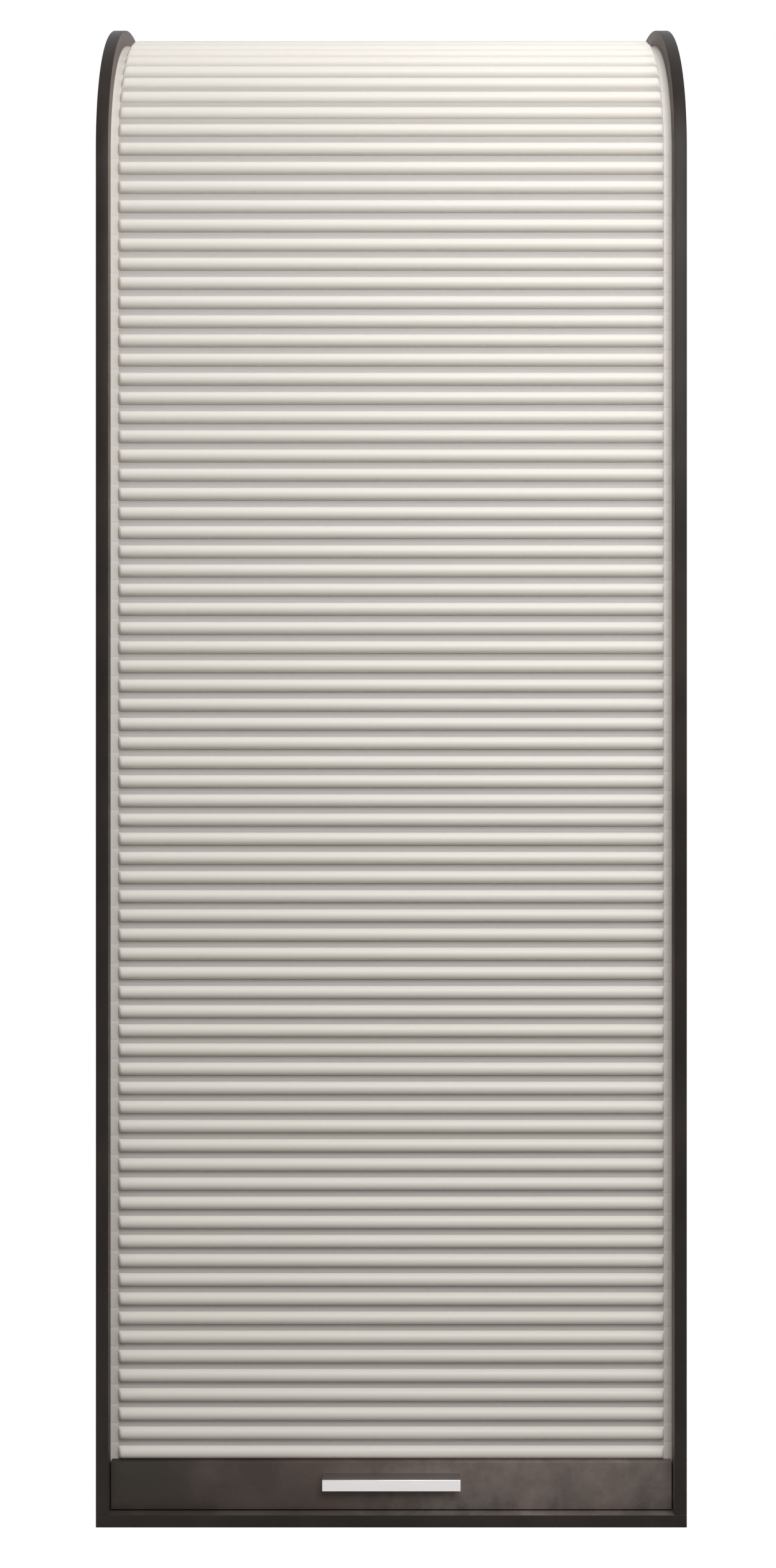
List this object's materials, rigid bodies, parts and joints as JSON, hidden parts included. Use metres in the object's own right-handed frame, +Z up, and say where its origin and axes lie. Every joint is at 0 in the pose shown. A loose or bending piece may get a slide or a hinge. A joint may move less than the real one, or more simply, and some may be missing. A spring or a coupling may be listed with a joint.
{
  "type": "tambour door cabinet",
  "caption": "Tall shelved cabinet with a round-fronted top; a ribbed tambour curtain rises in side tracks, over the top and down behind the back.",
  "frame": {"origin": "middle of the bottom board's underside, on the floor", "axes": "+Z up, +X to the right seen from the front, front with curtain and handle facing -Y"},
  "size_m": [0.764, 0.448, 2.022],
  "materials": {
    "decor_board": "matt melamine board in mottled anthracite concrete decor, near-black edging",
    "slat_plastic": "satin cream white extruded slats",
    "track_plastic": "smooth pale grey plastic channel",
    "satin_aluminium": "fine brushed satin",
    "steel": "zinc plated",
    "hardboard": "thin lacquered fibreboard",
    "nylon": "white nylon",
    "rubber": "dull black"
  },
  "bodies": {
    "carcass": {"side_panel_left": "decor_board", "side_panel_right": "decor_board", "track_liner_left": "track_plastic", "track_liner_right": "track_plastic", "bottom_board": "decor_board", "top_board": "decor_board", "fixed_shelf": "decor_board", "inner_back": "decor_board", "outer_back": "hardboard", "shelf_1": "decor_board", "shelf_2": "decor_board", "shelf_3": "decor_board", "shelf_1_pin_left_front": "steel", "shelf_1_pin_left_back": "steel", "shelf_1_pin_right_front": "steel", "shelf_1_pin_right_back": "steel", "shelf_2_pin_left_front": "steel", "shelf_2_pin_left_back": "steel", "shelf_2_pin_right_front": "steel", "shelf_2_pin_right_back": "steel", "shelf_3_pin_left_front": "steel", "shelf_3_pin_left_back": "steel", "shelf_3_pin_right_front": "steel", "shelf_3_pin_right_back": "steel", "slat_group_17": "slat_plastic", "slat_group_18": "slat_plastic", "slat_group_19": "slat_plastic", "slat_group_20": "slat_plastic", "slat_group_21": "slat_plastic", "slat_group_22": "slat_plastic", "slat_group_23": "slat_plastic", "stop_buffer_left": "rubber", "stop_buffer_right": "rubber"},
    "door": {"bottom_rail": "decor_board", "handle": "satin_aluminium", "handle_screw_left": "steel", "handle_screw_right": "steel", "rail_glide_left": "nylon", "rail_glide_right": "nylon", "slat_group_01": "slat_plastic"},
    "curtain_02": {"slat_group_02": "slat_plastic"},
    "curtain_03": {"slat_group_03": "slat_plastic"},
    "curtain_04": {"slat_group_04": "slat_plastic"},
    "curtain_05": {"slat_group_05": "slat_plastic"},
    "curtain_06": {"slat_group_06": "slat_plastic"},
    "curtain_07": {"slat_group_07": "slat_plastic"},
    "curtain_08": {"slat_group_08": "slat_plastic"},
    "curtain_09": {"slat_group_09": "slat_plastic"},
    "curtain_10": {"slat_group_10": "slat_plastic"},
    "curtain_11": {"slat_group_11": "slat_plastic"},
    "curtain_12": {"slat_group_12": "slat_plastic"},
    "curtain_13": {"slat_group_13": "slat_plastic"},
    "curtain_14": {"slat_group_14": "slat_plastic"},
    "curtain_15": {"slat_group_15": "slat_plastic"},
    "curtain_16": {"slat_group_16": "slat_plastic"},
    "curtain_tail": {"slat_group_tail": "slat_plastic"}
  },
  "joints": [
    {"name": "door_lift", "type": "slide", "parent": "carcass", "child": "door", "axis": [0, 0, 1], "range_m": [0, 1.6], "deforming": ["slat_group_01", "slat_group_02", "slat_group_03", "slat_group_04", "slat_group_05", "slat_group_06", "slat_group_07", "slat_group_08", "slat_group_09", "slat_group_10", "slat_group_11", "slat_group_12", "slat_group_13", "slat_group_14", "slat_group_15", "slat_group_16"]},
    {"name": "curtain_02_slide", "type": "slide", "parent": "carcass", "child": "curtain_02", "axis": [0, 0, 1], "range_m": [0, 1.501]},
    {"name": "curtain_03_slide", "type": "slide", "parent": "carcass", "child": "curtain_03", "axis": [0, 0, 1], "range_m": [0, 1.401]},
    {"name": "curtain_04_slide", "type": "slide", "parent": "carcass", "child": "curtain_04", "axis": [0, 0, 1], "range_m": [0, 1.301]},
    {"name": "curtain_05_slide", "type": "slide", "parent": "carcass", "child": "curtain_05", "axis": [0, 0, 1], "range_m": [0, 1.201]},
    {"name": "curtain_06_slide", "type": "slide", "parent": "carcass", "child": "curtain_06", "axis": [0, 0, 1], "range_m": [0, 1.101]},
    {"name": "curtain_07_slide", "type": "slide", "parent": "carcass", "child": "curtain_07", "axis": [0, 0, 1], "range_m": [0, 1.001]},
    {"name": "curtain_08_slide", "type": "slide", "parent": "carcass", "child": "curtain_08", "axis": [0, 0, 1], "range_m": [0, 0.901]},
    {"name": "curtain_09_slide", "type": "slide", "parent": "carcass", "child": "curtain_09", "axis": [0, 0, 1], "range_m": [0, 0.801]},
    {"name": "curtain_10_slide", "type": "slide", "parent": "carcass", "child": "curtain_10", "axis": [0, 0, 1], "range_m": [0, 0.701]},
    {"name": "curtain_11_slide", "type": "slide", "parent": "carcass", "child": "curtain_11", "axis": [0, 0, 1], "range_m": [0, 0.601]},
    {"name": "curtain_12_slide", "type": "slide", "parent": "carcass", "child": "curtain_12", "axis": [0, 0, 1], "range_m": [0, 0.501]},
    {"name": "curtain_13_slide", "type": "slide", "parent": "carcass", "child": "curtain_13", "axis": [0, 0, 1], "range_m": [0, 0.401]},
    {"name": "curtain_14_slide", "type": "slide", "parent": "carcass", "child": "curtain_14", "axis": [0, 0, 1], "range_m": [0, 0.301]},
    {"name": "curtain_15_slide", "type": "slide", "parent": "carcass", "child": "curtain_15", "axis": [0, 0, 1], "range_m": [0, 0.201]},
    {"name": "curtain_16_slide", "type": "slide", "parent": "carcass", "child": "curtain_16", "axis": [0, 0, 1], "range_m": [0, 0.101]},
    {"name": "curtain_tail_slide", "type": "slide", "parent": "carcass", "child": "curtain_tail", "axis": [0, 0, 1], "range_m": [-1.601, 0]}
  ],
  "couplings": [
    {"joint": "curtain_02_slide", "follows": "door_lift", "ratio": 0.9375},
    {"joint": "curtain_03_slide", "follows": "door_lift", "ratio": 0.875},
    {"joint": "curtain_04_slide", "follows": "door_lift", "ratio": 0.8125},
    {"joint": "curtain_05_slide", "follows": "door_lift", "ratio": 0.75},
    {"joint": "curtain_06_slide", "follows": "door_lift", "ratio": 0.6875},
    {"joint": "curtain_07_slide", "follows": "door_lift", "ratio": 0.625},
    {"joint": "curtain_08_slide", "follows": "door_lift", "ratio": 0.5625},
    {"joint": "curtain_09_slide", "follows": "door_lift", "ratio": 0.5},
    {"joint": "curtain_10_slide", "follows": "door_lift", "ratio": 0.4375},
    {"joint": "curtain_11_slide", "follows": "door_lift", "ratio": 0.375},
    {"joint": "curtain_12_slide", "follows": "door_lift", "ratio": 0.3125},
    {"joint": "curtain_13_slide", "follows": "door_lift", "ratio": 0.25},
    {"joint": "curtain_14_slide", "follows": "door_lift", "ratio": 0.1875},
    {"joint": "curtain_15_slide", "follows": "door_lift", "ratio": 0.125},
    {"joint": "curtain_16_slide", "follows": "door_lift", "ratio": 0.0625},
    {"joint": "curtain_tail_slide", "follows": "door_lift", "ratio": -1}
  ]
}
